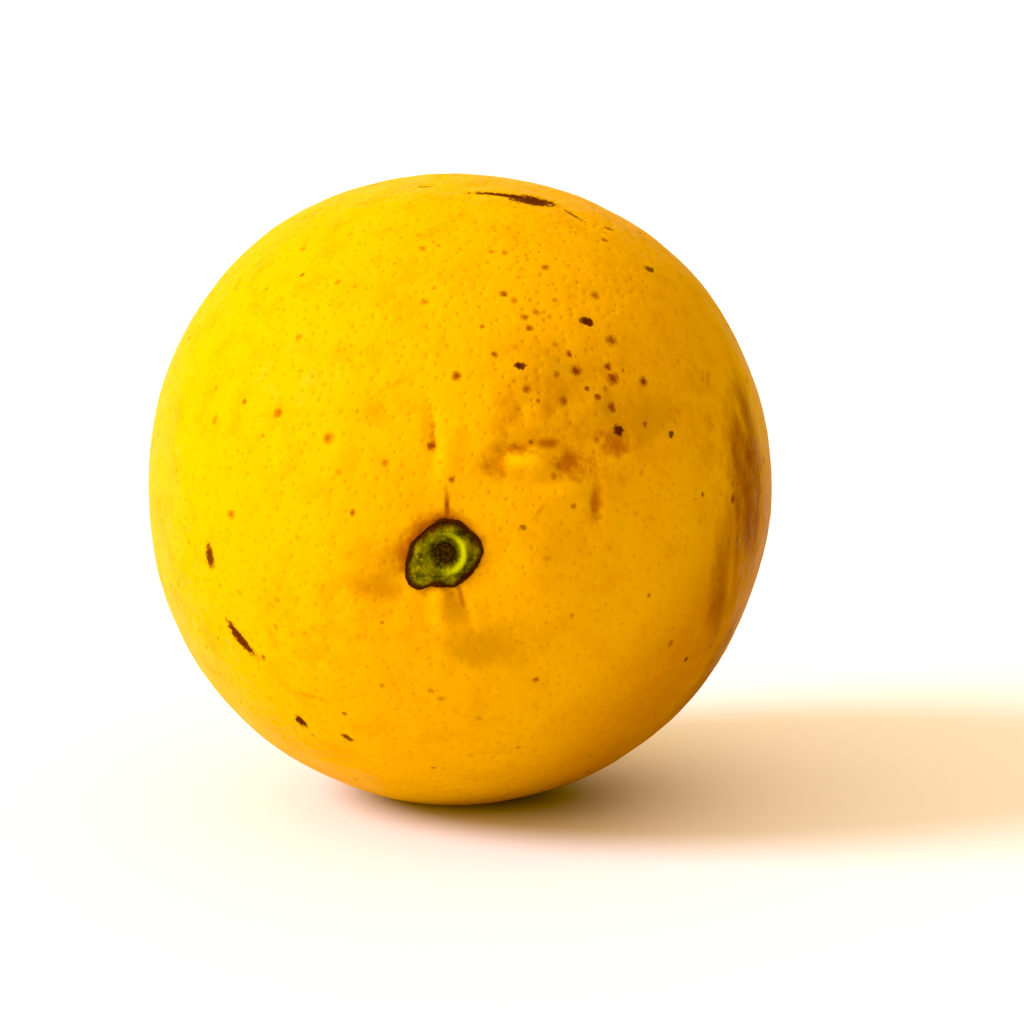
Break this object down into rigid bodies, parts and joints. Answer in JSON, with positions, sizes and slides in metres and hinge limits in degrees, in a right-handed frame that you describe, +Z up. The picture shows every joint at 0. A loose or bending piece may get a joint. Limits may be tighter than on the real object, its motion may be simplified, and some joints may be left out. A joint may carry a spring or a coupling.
{
  "type": "orange",
  "caption": "Whole fresh orange lying on its side on a small flat spot, with its green button and the woody end of its stalk.",
  "frame": {"origin": "centre of the small flat spot that the fruit rests on", "axes": "+Z up from the resting spot, -Y along the level stem axis towards the green button, +X to the right when looking at the button"},
  "size_m": [0.072, 0.0756, 0.072],
  "materials": {
    "orange_peel": "smooth waxy citrus peel with shallow pores, satin",
    "green_button": "dry green plant tissue, matt, with a brown edge",
    "brown_wood": "dry broken stalk end, matt"
  },
  "bodies": {
    "root": {"fruit": "orange_peel", "calyx": "green_button", "stem_stub": "brown_wood"}
  },
  "joints": []
}
